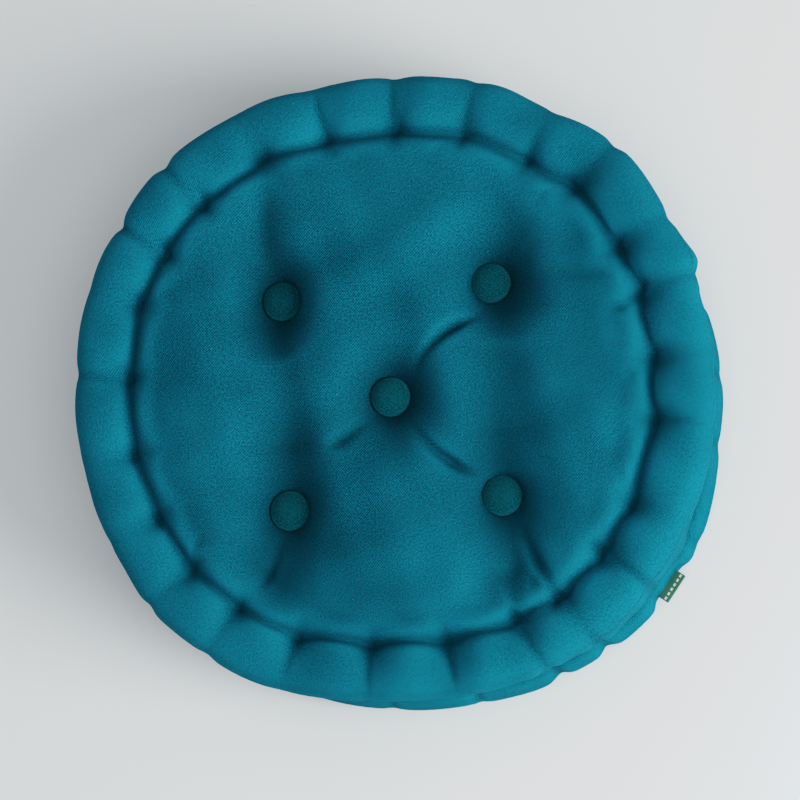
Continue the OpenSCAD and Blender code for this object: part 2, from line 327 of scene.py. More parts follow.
def simulate_half(grid, seed, folds):
    """The upper half of the cover after the cloth is blown up."""
    rng = np.random.default_rng(seed)
    rest, block, rings, inside, theta, (channel, seam, groove, waist) = grid
    count = len(rest)
    radius = axis_distance(rest)
    angle = np.arctan2(rest[:, 1], rest[:, 0])
    ring = np.zeros(count, int)
    for k in range(1, len(rings)):
        ring[rings[k]] = k

    # How far each vertex is from the nearest tack, and from 0 at a tack to 1 half way to the next.
    tacks = np.radians(TACK_DEGREES)
    strength = TACK_PULL * rng.uniform(0.8, 1.2, len(tacks))
    turn = turn_between(angle[:, None], tacks)
    nearest = np.abs(turn).argmin(1)
    gap = np.abs(turn[np.arange(count), nearest]) * np.maximum(radius, 0.2)
    after = np.searchsorted(tacks, angle) % len(tacks)
    width = (tacks[after] - tacks[after - 1]) % (2 * math.pi)
    hump = np.sin(math.pi * np.clip(((angle - tacks[after - 1]) % (2 * math.pi)) / width, 0, 1))

    # Spare cloth round and outwards, as a share of the length.
    spare_round = np.interp(radius, [0.2, CHANNEL_R, ROLL_X, SEAM_R], [0.03, 0.025, 0.05, 0.055])
    spare_round[ring > seam] = 0.060
    spare_round[np.abs(ring - seam) < 2] = 0.075
    spare_round += 0.025 * np.sin(5 * angle + 2) * np.sin(3 * angle) * (ring > channel)
    pull = bell(gap, 0.008) * strength[nearest]
    spare_out = np.where(ring < channel - 2, 0.012, 0.010)
    over = np.clip((seam - ring) / (seam - channel), 0, 1)      # 1 at the channel, 0 from the seam on
    pull *= np.where(ring > channel, 0.30 + 0.70 * over, 1)
    spare_out = spare_out - np.where((ring > channel) & (ring < groove), 0.045, 0) * pull

    # The start: dimples, a little unevenness, and the rolls drawn in at the tacks.
    points = rest.copy()
    face = ring < channel
    pinned = np.zeros(count, bool)
    to_button = np.min([np.hypot(rest[:, 0] - x, rest[:, 1] - y) for x, y in BUTTONS], axis=0)
    pinned |= (to_button < BUTTON_R - 0.0015) & face
    rough = np.zeros(count)
    for _ in range(40):
        wave = rng.normal(0, 60, 2)
        rough += np.cos(rest[:, :2] @ wave + rng.uniform(0, 2 * math.pi))
    inner = smooth_step(np.clip((CHANNEL_R - radius) / (CHANNEL_R - PLAIN_R), 0, 1))
    wanted = face_height(rest[:, 0], rest[:, 1], folds) + np.where(pinned, 0, 0.0003 * rough)
    points[:, 2] += np.where(face, (wanted - FACE_Z) * inner, 0)
    wadded = face & (radius < 0.2520) & ~pinned
    edge_in = np.clip((radius - 0.222) / (CHANNEL_R - 0.222), 0, 1)
    wadding_z = points[:, 2] + CHANNEL_RISE * hump * edge_in**2
    wadding_low = np.where(radius < PLAIN_R, 0.0010, 0.0070)
    relief = points.copy()
    rolled = (ring > channel) & (ring < groove)
    out_r, out_z = (radius - ROLL_X) / ROLL_R, (rest[:, 2] - SEAM_Z) / ROLL_R
    drawn = np.where(rolled, 0.002 * pull, 0)
    unit = unit_vectors(angle)
    points[:, :2] -= unit * (drawn * out_r)[:, None]
    points[:, 2] -= drawn * out_z
    pinned |= (gap < 0.0045) & ((ring == channel) | (ring == groove))
    pinned[rings[waist]] = True
    free = np.where(pinned, 0.0, 1.0)

    solve = []
    for kind, a, b in springs(block, rings, inside):
        run = rest[b] - rest[a]
        on_face = (ring[a] < channel) & (ring[b] < channel)
        laid = np.where(on_face, 1, 0)[:, None] * (relief[b] - relief[a] - run)
        length = np.linalg.norm(laid + run, axis=1)
        if kind == "round":
            spare = (spare_round[a] + spare_round[b]) / 2
        elif kind == "out":
            spare = (spare_out[a] + spare_out[b]) / 2
        else:
            spare = (spare_round[a] + spare_round[b] + spare_out[a] + spare_out[b]) / 4
        across = run[:, 0] ** 2 / (run**2).sum(1)
        edge_share = np.clip(((radius[a] + radius[b]) / 2 - 0.215) / 0.03, 0, 1)
        plain = SPARE_Y + (SPARE_X - SPARE_Y) * across
        spare = np.where(on_face, plain * (1 - edge_share) + spare * edge_share, spare)
        weight = free[a] + free[b]
        use = weight > 0
        a, b, length, weight = a[use], b[use], (length * (1 + spare))[use], weight[use]
        pull_in, push_out = {"shear": (0.3, 0.2), "bend": (0.0, 0.09)}.get(kind, (1.0, 0.8))
        share_a, share_b = (free[a] / weight)[:, None], (free[b] / weight)[:, None]
        solve.append((a, b, length, share_a, share_b, pull_in, push_out))

    square, ringed = grid_faces(block, rings)
    faces = np.concatenate([square, ringed.reshape(-1, 4)])
    held = points.copy()
    before = points.copy()
    channel_top = CHANNEL_Z + (CHANNEL_RISE + 0.0030 * np.sin(3 * theta + 1)) * hump[rings[channel]]
    # The channel is a slit at a tack, and a soft valley between two.
    open_up = 0.0006 + 0.0014 * np.abs(ring - channel) * hump
    inner_lip = (ring < channel) & (ring > channel - 7)
    outer_lip = (ring > channel) & (ring < channel + 6)
    above = (ring < groove) & (ring > groove - 6)
    below = ring > groove
    z_cap = np.where(face, wadding_z + 0.0035, 0.1565)
    r_cap = np.where(ring <= groove, 0.3060, 0.2965)
    creases = np.where(face & ~pinned, crease_field(rest[:, 0], rest[:, 1], folds), 0)

    for step in range(STEPS):
        if step % 3 == 0:
            normals = vertex_normals(points, faces)
        push = 0.00016 if step < STEPS * 0.75 else 0.0001
        r = axis_distance(points)
        room = np.clip(np.where(normals[:, 2] > 0.5, (z_cap - points[:, 2]) / 0.009, 1), -0.6, 1)
        side = (normals[:, 2] <= 0.5) & (ring > seam - 6)
        room = np.where(side, np.clip((r_cap - r) / 0.004, 0, 1), room) * np.where(wadded, 0.3, 1)
        drift = (points - before) * 0.93
        before = points.copy()
        points = points + (drift + normals * (push * room)[:, None]) * free[:, None]
        for a, b, length, share_a, share_b, pull_in, push_out in solve:
            run = points[b] - points[a]
            now = np.sqrt(np.einsum("ij,ij->i", run, run)) + 1e-12
            off = (now - length) / now
            run *= (off * np.where(off > 0, pull_in, push_out))[:, None]
            points[a] += run * share_a
            points[b] -= run * share_b
        # The cloth keeps off the buttons, and lies on the wadding.
        for x, y in BUTTONS:
            dx, dy = points[:, 0] - x, points[:, 1] - y
            d = np.hypot(dx, dy)
            inside_button = (d < BUTTON_R + 0.0008) & ~pinned & face
            scale = (BUTTON_R + 0.0008) / np.maximum(d[inside_button], 1e-4)
            points[inside_button, 0] = x + dx[inside_button] * scale
            points[inside_button, 1] = y + dy[inside_button] * scale
        points[wadded, :2] += 0.10 * (relief[wadded, :2] - points[wadded, :2])
        points[wadded, 2] = np.clip(
            points[wadded, 2], wadding_z[wadded] - wadding_low[wadded], wadding_z[wadded] + 0.0018)
        # Neither side of a tacked line passes through the other, and it stays low between the tacks.
        line = rings[channel]
        points[line, 2] = np.minimum(points[line, 2], channel_top)
        r = axis_distance(points)
        wanted = np.where(inner_lip, np.minimum(r, CHANNEL_R - open_up), r)
        wanted = np.where(outer_lip, np.maximum(r, CHANNEL_R + open_up), wanted)
        points[:, :2] *= (wanted / np.maximum(r, 1e-6))[:, None]
        points[above, 2] = np.maximum(points[above, 2], GROOVE[1] + 0.0006)
        points[below, 2] = np.minimum(points[below, 2], GROOVE[1] - 0.0006)
        line = rings[groove]
        r = axis_distance(points[line])
        points[line, :2] *= (np.minimum(r, GROOVE[0] + 0.0035 * hump[line]) / r)[:, None]
        points[pinned] = held[pinned]

    # Thick cloth over wadding has no folds as sharp as the grid's.
    pairs = [(a, b) for kind, a, b in springs(block, rings, inside) if kind in ("stretch", "round", "out")]
    ends = np.concatenate([a for a, b in pairs] + [b for a, b in pairs])
    others = np.concatenate([b for a, b in pairs] + [a for a, b in pairs])
    degree = np.bincount(ends, minlength=count)[:, None]
    for k in range(6):
        mean = scatter(ends, points[others], count) / degree
        points += (0.5 if k % 2 == 0 else -0.3) * (mean - points) * free[:, None]
    soften = np.where(ring < channel - 2, np.clip(1 - creases / 0.0015, 0, 1), 0) * free
    for _ in range(3):
        mean = scatter(ends, points[others], count) / degree
        points += 0.5 * (mean - points) * soften[:, None]
    return points


# How the sewn outline differs from a circle, as shares of the radius: a little oval, a little square,
# a little small, and its middle off the middle of the buttons, towards the back.
OVAL, OVAL_TURN = 0.016, math.radians(50)
SQUARE, SMALLER = 0.016, 0.008
OFF_MIDDLE = 0.011
LABEL_SPAN = 0.080                      # half of the calm stretch of seam at the label, in radians
LABEL_INSET = 0.0030                    # how far the seam lies inside the line of the fold
# Bumps and notches of the border's edge: place in degrees, and share of the radius.
BUMPS = ((19.5, 0.016), (13, -0.014), (-52, 0.012), (-58, -0.012), (98, 0.006), (152, -0.006))
TACK_DENT = 0.0100                      # how far a plain tack dents the outline, as a share of the radius


def uneven(points):
    """The outline of a real cushion: not quite round, and lumpy at the border."""
    out = points.copy()
    r = axis_distance(points)
    a = np.arctan2(points[:, 1], points[:, 0])
    height = points[:, 2] - MID_Z
    share = smooth_step(np.clip((r - 0.13) / 0.12, 0, 1))
    shape = OVAL * np.cos(2 * a + OVAL_TURN) - SQUARE * np.cos(4 * a) - SMALLER
    shape += OFF_MIDDLE / SEAM_R * np.sin(a)
    for degrees, size in BUMPS:
        turn = turn_between(a, math.radians(degrees))
        shape += size * bell(points[:, 2] - SEAM_Z, 0.016) * bell(turn, 0.055)
    for degrees, size in zip(TACK_DEGREES, TACK_DENT * TACK_PULL):
        turn = turn_between(a, math.radians(degrees))
        shape -= size * bell(np.abs(height) - 0.056, 0.016) * bell(turn, 0.024)
    rng = np.random.default_rng(11)
    wall = bell(height, 0.032)
    for m in range(9, 34):
        drift = rng.normal(0, 22) * height
        shape += 0.0012 * wall * np.cos(m * a + rng.uniform(0, 2 * math.pi) + drift)
    for m in range(5, 18):
        shape += 0.0015 * np.cos(m * a + rng.uniform(0, 2 * math.pi) + 4 * height / HEIGHT)
    out[:, :2] *= (1 + shape * share)[:, None]
    border = np.clip((r - 0.235) / 0.02, 0, 1) * np.clip((np.abs(height) - 0.052) / 0.015, 0, 1)
    lumps = sum(np.cos(m * a + rng.uniform(0, 2 * math.pi) + 30 * r) for m in range(7, 30))
    out[:, 2] += 0.0004 * lumps * border * np.sign(height)
    # The seams wander up and down.
    ruffle = sum(np.cos(m * a + rng.uniform(0, 2 * math.pi)) / m**0.5 for m in range(9, 48))
    near_seam = bell(np.abs(height) - SEAM_Z + MID_Z, 0.011) * (r > ROLL_X)
    out[:, 2] += 0.0022 * ruffle * near_seam * np.sign(height)
    return out


def level_at_label(points):
    """The bottom seam runs straight past the label, just inside the line on which the label folds."""
    joint = next(j for j in frame["joints"] if j["name"] == "label_fold")
    x, y, z = joint["pos_m"]
    out = points.copy()
    a = np.arctan2(points[:, 1], points[:, 0])
    seam = points[RINGS[SEAM]]
    seam_r = np.interp(a, THETA, axis_distance(seam), period=2 * math.pi)
    seam_z = np.interp(a, THETA, seam[:, 2], period=2 * math.pi)
    turn = turn_between(a, math.atan2(y, x))
    share = np.exp(-((turn / LABEL_SPAN) ** 6)) * bell(points[:, 2] - z, 0.022)
    share *= np.clip((axis_distance(points) - ROLL_X) / 0.008, 0, 1)
    out[:, :2] += ((math.hypot(x, y) - LABEL_INSET - seam_r) * share)[:, None] * unit_vectors(a)
    out[:, 2] += (z - seam_z) * share
    return out


def flatten_on_floor(points):
    """The underside where it rests on the floor."""
    out = points.copy()
    soft, floor_z = 0.0022, 0.0004
    out[:, 2] = floor_z + soft * np.logaddexp(0, (points[:, 2] - floor_z - soft) / soft)
    return out


# ---- Mesh making ----


def smooth_object(name, points, faces, uv, material, subdivide, body):
    """A smooth mesh that rides on a body. uv holds one (u, v) for each corner of each face."""
    mesh = bpy.data.meshes.new(name)
    mesh.from_pydata(points, [], faces)
    if uv is not None:
        layer = mesh.uv_layers.new(name="Cloth")
        layer.data.foreach_set("uv", np.asarray(uv, np.float32).ravel())
    mesh.polygons.foreach_set("use_smooth", [True] * len(mesh.polygons))
    mesh.update()
    mesh.materials.append(material)
    obj = bpy.data.objects.new(name, mesh)
    bpy.context.scene.collection.objects.link(obj)
    if subdivide:
        obj.modifiers.new("Subdivision", "SUBSURF").levels = subdivide
        obj.modifiers["Subdivision"].render_levels = subdivide
    if body:
        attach(obj, body)
    return obj


def mesh_object(name, points, quads, uv, material, subdivide=0, body=ROOT):
    """The same from quads, without the points that no quad uses."""
    used, quads = np.unique(np.asarray(quads), return_inverse=True)
    quads = quads.reshape(-1, 4).tolist()
    return smooth_object(name, np.asarray(points)[used].tolist(), quads, uv, material, subdivide, body)


def stands_for(obj, slot, *nodes):
    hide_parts(*nodes)


def ring_quads(rows, columns, closed=True, start=0):
    """Quads of a grid of rows by columns, the columns closed into rings."""
    ids = start + np.arange(rows * columns).reshape(rows, columns)
    nxt = np.roll(ids, -1, 1)
    quads = np.stack([ids[:-1], ids[1:], nxt[1:], nxt[:-1]], -1)
    return (quads if closed else quads[:, :-1]).reshape(-1, 4)


def tube(path, radius, sides=8, closed=False):
    """Points and quads of a tube along a path; an open one is drawn to a point at each end."""
    path = np.asarray(path, float)
    n = len(path)
    if closed:
        along = np.roll(path, -1, 0) - np.roll(path, 1, 0)
    else:
        along = np.gradient(path, axis=0)
    along /= np.linalg.norm(along, axis=1)[:, None]
    up = np.array([0, 0, 1.0]) - along * along[:, 2:3]
    up /= np.linalg.norm(up, axis=1)[:, None]
    side = np.cross(along, up)
    a = np.linspace(0, 2 * math.pi, sides, endpoint=False)
    size = np.full(n, radius)
    if not closed:
        t = np.linspace(-1, 1, n)
        size = radius * np.sqrt(np.clip(1 - np.abs(t) ** 6, 0.002, 1))
    points = path[:, None] + size[:, None, None] * (
        np.cos(a)[None, :, None] * up[:, None] + np.sin(a)[None, :, None] * side[:, None]
    )
    quads = ring_quads(n + closed, sides)
    if closed:
        quads %= n * sides
    return points.reshape(-1, 3), quads


def joined(parts):
    """Several (points, quads) as one."""
    points, quads, start = [], [], 0
    for p, q in parts:
        points.append(p)
        quads.append(q + start)
        start += len(p)
    return np.concatenate(points), np.concatenate(quads)


# ---- Materials ----


def new_material(name, colour, roughness):
    made = bpy.data.materials.new(name)
    made.use_nodes = True
    made.diffuse_color = (*colour, 1)
    shader = made.node_tree.nodes["Principled BSDF"]
    shader.inputs["Base Color"].default_value = (*colour, 1)
    shader.inputs["Roughness"].default_value = roughness
    return made, shader


DIAGONAL_WAVES = 0.4443                 # the wave texture's scale for diagonal bands one metre apart


class Graph:
    """Short ways of adding nodes to a material."""

    def __init__(self, made):
        self.nodes, self.links = made.node_tree.nodes, made.node_tree.links

    def set(self, socket, value):
        if isinstance(value, bpy.types.NodeSocket):
            self.links.new(value, socket)
        else:
            socket.default_value = value

    def add(self, kind, inputs=(), **settings):
        node = self.nodes.new(kind)
        for key, value in settings.items():
            setattr(node, key, value)
        for key, value in dict(inputs).items():
            self.set(node.inputs[key], value)
        return node

    def math(self, operation, a, b=0.0, clamp=False):
        return self.add("ShaderNodeMath", {0: a, 1: b}, operation=operation, use_clamp=clamp).outputs[0]

    def remap(self, value, low, high, new_low, new_high):
        inputs = {"Value": value, "From Min": low, "From Max": high, "To Min": new_low, "To Max": new_high}
        return self.add("ShaderNodeMapRange", inputs).outputs["Result"]

    def noise(self, where, scale, detail=2.0, roughness=0.5):
        inputs = {"Vector": where, "Scale": scale, "Detail": detail, "Roughness": roughness}
        return self.add("ShaderNodeTexNoise", inputs).outputs["Fac"]

    def scaled(self, where, scale):
        return self.add("ShaderNodeMapping", {"Vector": where, "Scale": scale}).outputs["Vector"]

    def object_place(self):
        return self.add("ShaderNodeTexCoord").outputs["Object"]

    def waves(self, where, pitch, distortion=0.0, detail_scale=1.0):
        """Diagonal ribs that far apart."""
        scale = DIAGONAL_WAVES / pitch
        inputs = {"Vector": where, "Scale": scale, "Distortion": distortion, "Detail Scale": detail_scale}
        waves = self.add("ShaderNodeTexWave", inputs, wave_type="BANDS", bands_direction="DIAGONAL")
        return waves.outputs["Fac"]

    def colour_mix(self, share, a, b, blend="MIX"):
        node = self.add("ShaderNodeMix", data_type="RGBA", blend_type=blend)
        self.set(node.inputs["Factor"], share)
        self.set(node.inputs[6], a)
        self.set(node.inputs[7], b)
        return node.outputs[2]

    def bump(self, shader, height, distance, strength=1.0):
        node = self.add("ShaderNodeBump", {"Height": height, "Distance": distance, "Strength": strength})
        self.set(shader.inputs["Normal"], node.outputs["Normal"])


def twill(name, deep, bright, rib=0.0018, fade=0.35):
    """Cotton twill: slanting ribs of paired yarns, faded where it is rubbed, with a little lint, and painted
    shade in its creases and low places.
    """
    made, shader = new_material(name, bright, 0.88)
    g = Graph(made)
    cloth = g.add("ShaderNodeUVMap", uv_map="Cloth").outputs["UV"]
    flipped = g.scaled(cloth, (1, -1, 1))
    ribs = g.waves(flipped, rib, 1.6, 0.7)
    floats = g.waves(cloth, rib * 0.62, 2.5, 1.5)
    fibre = g.noise(cloth, 900, 3, 0.7)
    slub = g.noise(cloth, 260, 3, 0.6)
    height = g.math("ADD", g.math("MULTIPLY", ribs, 0.42), g.math("MULTIPLY", floats, 0.14))
    height = g.math("ADD", height, g.math("MULTIPLY", fibre, 0.60))
    g.bump(shader, g.math("ADD", height, g.math("MULTIPLY", slub, 0.25)), 0.00050, 1.0)
    # Yarns stand pale over dark gaps; broad fading and the rubbed ridges lighten them; the creases get
    # painted shade.
    yarn = g.remap(height, 0.25, 0.90, 0.05, 1.0)
    shade = g.colour_mix(yarn, (*deep, 1), (*bright, 1))
    place = g.object_place()
    fading = g.remap(g.noise(place, 7, 4, 0.6), 0.3, 0.7, 0, 1)
    pale = tuple(c * 1.45 + 0.004 for c in bright)
    shade = g.colour_mix(g.math("MULTIPLY", fading, fade), shade, (*pale, 1))
    grain = g.remap(g.noise(cloth, 560, 2, 0.75), 0.36, 0.64, 0.62, 1.38)
    tint = g.add("ShaderNodeCombineColor", {"Red": grain, "Green": grain, "Blue": grain}).outputs["Color"]
    shade = g.colour_mix(1.0, shade, tint, "MULTIPLY")
    wear_and_shade = g.add("ShaderNodeAttribute", attribute_name="WearAndShade").outputs["Fac"]
    rubbed = g.math("MULTIPLY", g.remap(wear_and_shade, 0.5, 1.0, 0, 0.55), g.remap(slub, 0.3, 0.7, 0.5, 1.0))
    shade = g.colour_mix(rubbed, shade, (*pale, 1))
    # Painted shade: the creases are darkened towards the deep colour.
    shade = g.colour_mix(g.remap(wear_and_shade, 0.5, 0.0, 0, 0.45), shade, (*deep, 1))
    # Painted shade: the face is darkened where it lies low, in the dimples and hollows.
    hollow_shade = g.add("ShaderNodeAttribute", attribute_name="HollowShade").outputs["Fac"]
    shade = g.colour_mix(g.math("MULTIPLY", hollow_shade, 0.62), shade, (*deep, 1))
    speck = g.add("ShaderNodeTexVoronoi", {"Vector": cloth, "Scale": 130.0, "Randomness": 1.0}, feature="F1")
    dot = g.remap(speck.outputs["Distance"], 0.035, 0.065, 1, 0)
    pick = g.add("ShaderNodeSeparateColor", {"Color": speck.outputs["Color"]}).outputs["Red"]
    chosen = g.remap(pick, 0.9, 0.91, 0, 1)
    lint = g.math("MULTIPLY", g.math("MULTIPLY", dot, chosen, True), 0.5)
    shade = g.colour_mix(lint, shade, (0.30, 0.45, 0.48, 1))
    g.set(shader.inputs["Base Color"], shade)
    g.set(shader.inputs["Roughness"], g.remap(fibre, 0.3, 0.7, 0.78, 0.95))
    shader.inputs["Specular IOR Level"].default_value = 0.08
    shader.inputs["Sheen Weight"].default_value = 0.07
    shader.inputs["Sheen Roughness"].default_value = 0.4
    shader.inputs["Sheen Tint"].default_value = (0.10, 0.62, 0.85, 1)
    return made


def spun(name, dark, light, pitch, roughness=0.8):
    """Twisted yarn: thread and twine."""
    made, shader = new_material(name, light, roughness)
    g = Graph(made)
    place = g.object_place()
    plies = g.waves(place, pitch, 1.0, 2.0)
    fibre = g.noise(place, 2500, 2, 0.6)
    height = g.math("ADD", g.math("MULTIPLY", plies, 0.7), g.math("MULTIPLY", fibre, 0.4))
    g.set(shader.inputs["Base Color"], g.colour_mix(g.remap(height, 0.2, 0.9, 0, 1), (*dark, 1), (*light, 1)))
    g.bump(shader, height, 0.0002, 0.6)
    shader.inputs["Sheen Weight"].default_value = 0.15
    return made


DASHES_AT = 0.0186                      # how far along the label's tape its row of dashes is


def tape(name):
    """Narrow woven tape, dark green with a row of pale dashes near its fold."""
    made, shader = new_material(name, (0.03, 0.15, 0.10), 0.7)
    g = Graph(made)
    cloth = g.add("ShaderNodeUVMap", uv_map="Cloth").outputs["UV"]
    weft = g.waves(g.scaled(cloth, (0.001, 1.41, 1)), 0.0006, 0.3)
    warp = g.waves(g.scaled(cloth, (1.41, 0.001, 1)), 0.0005, 0.3)
    weave = g.math("MULTIPLY", g.math("ADD", weft, warp), 0.5)
    split = g.add("ShaderNodeSeparateXYZ", {"Vector": cloth})
    across = g.math("ABSOLUTE", g.math("SUBTRACT", split.outputs["Y"], DASHES_AT))
    stripe = g.remap(across, 0.0009, 0.0012, 1, 0)
    dashes = g.remap(g.math("PINGPONG", split.outputs["X"], 0.0025), 0.0009, 0.0011, 0, 1)
    pale = g.math("MULTIPLY", g.math("MULTIPLY", stripe, dashes, True), 0.85)
    green = g.colour_mix(weave, (0.008, 0.055, 0.042, 1), (0.030, 0.135, 0.100, 1))
    cream = g.colour_mix(weave, (0.35, 0.36, 0.26, 1), (0.68, 0.68, 0.55, 1))
    g.set(shader.inputs["Base Color"], g.colour_mix(pale, green, cream))
    g.bump(shader, weave, 0.0002, 0.7)
    shader.inputs["Sheen Weight"].default_value = 0.2
    return made


def fibres(name):
    """Cotton wadding: matted white fibre."""
    made, shader = new_material(name, (0.78, 0.75, 0.68), 0.95)
    g = Graph(made)
    place = g.object_place()
    mat = g.noise(place, 45, 6, 0.7)
    curled = {"Vector": place, "Scale": 400.0, "Detail": 3.0, "Distortion": 2.0}
    hair = g.add("ShaderNodeTexNoise", curled).outputs["Fac"]
    tone = g.math("ADD", g.math("MULTIPLY", mat, 0.6), g.math("MULTIPLY", hair, 0.4))
    colour = g.colour_mix(g.remap(tone, 0.35, 0.65, 0, 1), (0.60, 0.55, 0.46, 1), (0.86, 0.84, 0.79, 1))
    g.set(shader.inputs["Base Color"], colour)
    g.bump(shader, tone, 0.002, 0.8)
    shader.inputs["Sheen Weight"].default_value = 0.3
    return made


def tin_plate(name):
    """Pressed tin-plated steel, dulled and scratched."""
    made, shader = new_material(name, (0.55, 0.56, 0.55), 0.38)
    g = Graph(made)
    place = g.object_place()
    cloud = g.noise(place, 120, 5, 0.65)
    scratch = g.noise(g.scaled(place, (1, 12, 1)), 300, 2, 0.5)
    colour = g.colour_mix(g.remap(cloud, 0.4, 0.7, 0, 1), (0.58, 0.59, 0.58, 1), (0.36, 0.36, 0.35, 1))
    g.set(shader.inputs["Base Color"], colour)
    g.set(shader.inputs["Roughness"], g.remap(g.math("ADD", cloud, scratch), 0.7, 1.3, 0.25, 0.55))
    g.bump(shader, scratch, 0.00005, 0.4)
    shader.inputs["Metallic"].default_value = 1.0
    return made


COVER = twill("Teal twill", (0.0006, 0.038, 0.053), (0.0060, 0.142, 0.196))
BUTTON = twill("Button twill", (0.0010, 0.034, 0.043), (0.0030, 0.108, 0.130), 0.0012, 0.15)
THREAD = spun("Sewing thread", (0.0015, 0.028, 0.040), (0.004, 0.075, 0.105), 0.0004)
TWINE = spun("Tufting twine", (0.36, 0.30, 0.20), (0.66, 0.59, 0.45), 0.0012)
TAPE = tape("Label tape")
WADDING = fibres("Cotton wadding")
STEEL = tin_plate("Tin plate")


# ---- The cover ----


def face_edges(faces):
    """The two ends of each side of each face."""
    return faces.T.ravel(), np.roll(faces, -1, 1).T.ravel()


def wear_and_shade_of(points, faces):
    """From 0 in a crease to 1 on a ridge, 0.5 on the flat."""
    ends, others = face_edges(faces)
    ends, others = np.concatenate([ends, others]), np.concatenate([others, ends])
    count = len(points)
    degree = np.maximum(np.bincount(ends, minlength=count), 1)
    out = vertex_normals(points, faces)
    bend = ((points - scatter(ends, points[others], count) / degree[:, None]) * out).sum(1)
    for _ in range(4):
        bend = 0.5 * bend + 0.5 * np.bincount(ends, bend[others], count) / degree
    return 0.5 + 0.5 * np.tanh(bend / 0.00035)


def add_wear_and_shade(obj, points, faces, hollow_shade=None):
    """Stores how rubbed the cloth is on its ridges and how creased, for painted shade in the creases, and how
    deep it lies, for painted shade in low places.
    """
    used = np.unique(faces)
    hollow_shade = np.zeros(len(points)) if hollow_shade is None else hollow_shade
    for name, values in (("WearAndShade", wear_and_shade_of(points, faces)), ("HollowShade", hollow_shade)):
        attribute = obj.data.attributes.new(name, "FLOAT", "POINT")
        attribute.data.foreach_set("value", values[used].astype(np.float32))


GRID = cloth_grid()
REST, BLOCK, RINGS, _, THETA, (CHANNEL, SEAM, GROOVE_RING, WAIST) = GRID
square, ringed = grid_faces(BLOCK, RINGS)
CLOSING = math.radians(140)             # where the band's ends are joined by hand


def under(points):
    """An upper half turned into the lower half."""
    return points * np.array([1, 1, -1]) + np.array([0, 0, HEIGHT])


# The pattern: each vertex's place on the flat cloth that the cover was cut from.
steps_out = np.linalg.norm(np.diff(REST[RINGS[:, 0]], axis=0), axis=1)
first_profile = int(np.argmin(np.abs(np.hypot(*REST[RINGS[:, 0], :2].T) - PLAIN_R)))
along = np.concatenate([np.zeros(first_profile + 1), np.cumsum(steps_out[first_profile:])])
flat = REST[:, :2].copy()
unit = unit_vectors(THETA)
for k in range(first_profile, len(RINGS)):
    flat[RINGS[k]] = (PLAIN_R + along[k]) * unit

ROLL_Z = 0.062                          # how far from the middle the wadding reaches inside a roll
TURN_IN = 0.0034                        # depth of the seam's turned-in edge
LIP = 0.0009
TOP_SEAM = SEAM - 3                     # plumped up, the top seam rolls in over the border
HOLLOW_SHADE_FROM, HOLLOW_SHADE_RANGE = 0.0790, 0.028   # below this height over the middle the face gets painted shade, and how fast it deepens


def column_at(angle):
    """The column of the rings' vertices that lies nearest to an angle."""
    return int(np.argmin(np.abs(turn_between(THETA, angle))))


def seam_edge(points, seam, side):
    """Three more rings that turn one panel's edge into the seam.

    They are the puffed cloth beside it, its lip, and a hem inside. side is 1 for the face's panel and -1
    for the band.
    """
    line = points[RINGS[seam]]
    beside = points[RINGS[seam - side]]
    away = beside - line
    away /= np.linalg.norm(away, axis=1)[:, None]
    inward = -np.concatenate([unit, np.zeros((AROUND, 1))], 1)
    puff = line + 3.6 * LIP * away - 0.0010 * inward
    lip = line + LIP * away + 0.0006 * inward
    hem = line + TURN_IN * inward + 0.15 * LIP * away
    return puff, lip, hem


def panel(name, points, seam, replaced, flip):
    """The top or the bottom of the cover, out to its seam."""
    extra = seam_edge(points, seam, 1)
    count = len(points)
    rows = np.concatenate([RINGS[:seam], count + np.arange(3 * AROUND).reshape(3, AROUND)])
    right = np.roll(rows, -1, 1)
    outer = np.stack([rows[:-1], rows[1:], right[1:], right[:-1]], -1)
    faces = np.concatenate([square, outer.reshape(-1, 4)])
    every = np.concatenate([points, *extra])
    edge = PLAIN_R + along[seam]
    pattern = np.concatenate([flat] + [(edge + d) * unit for d in (-3.6 * LIP, 0, TURN_IN)])
    if flip:
        faces = faces[:, ::-1]
    obj = mesh_object(name, every, faces, pattern[faces.ravel()], COVER, subdivide=1)
    # Painted shade on the face inside the border, deepest where the cloth lies lowest.
    height = np.abs(every[:, 2] - MID_Z)
    inside = np.clip((0.222 - axis_distance(every)) / 0.02, 0, 1)
    add_wear_and_shade(obj, every, faces, inside * np.clip((HOLLOW_SHADE_FROM - height) / HOLLOW_SHADE_RANGE, 0, 1) ** 1.1)
    stands_for(obj, "cover_cloth", replaced)


upper = uneven(simulate_half(GRID, 5, CREASES + tucks()))
lower = flatten_on_floor(level_at_label(uneven(under(simulate_half(GRID, 6, tucks())))))
panel("top_cover", upper, TOP_SEAM, "top_panel", False)
panel("bottom_cover", lower, SEAM, "bottom_panel", True)


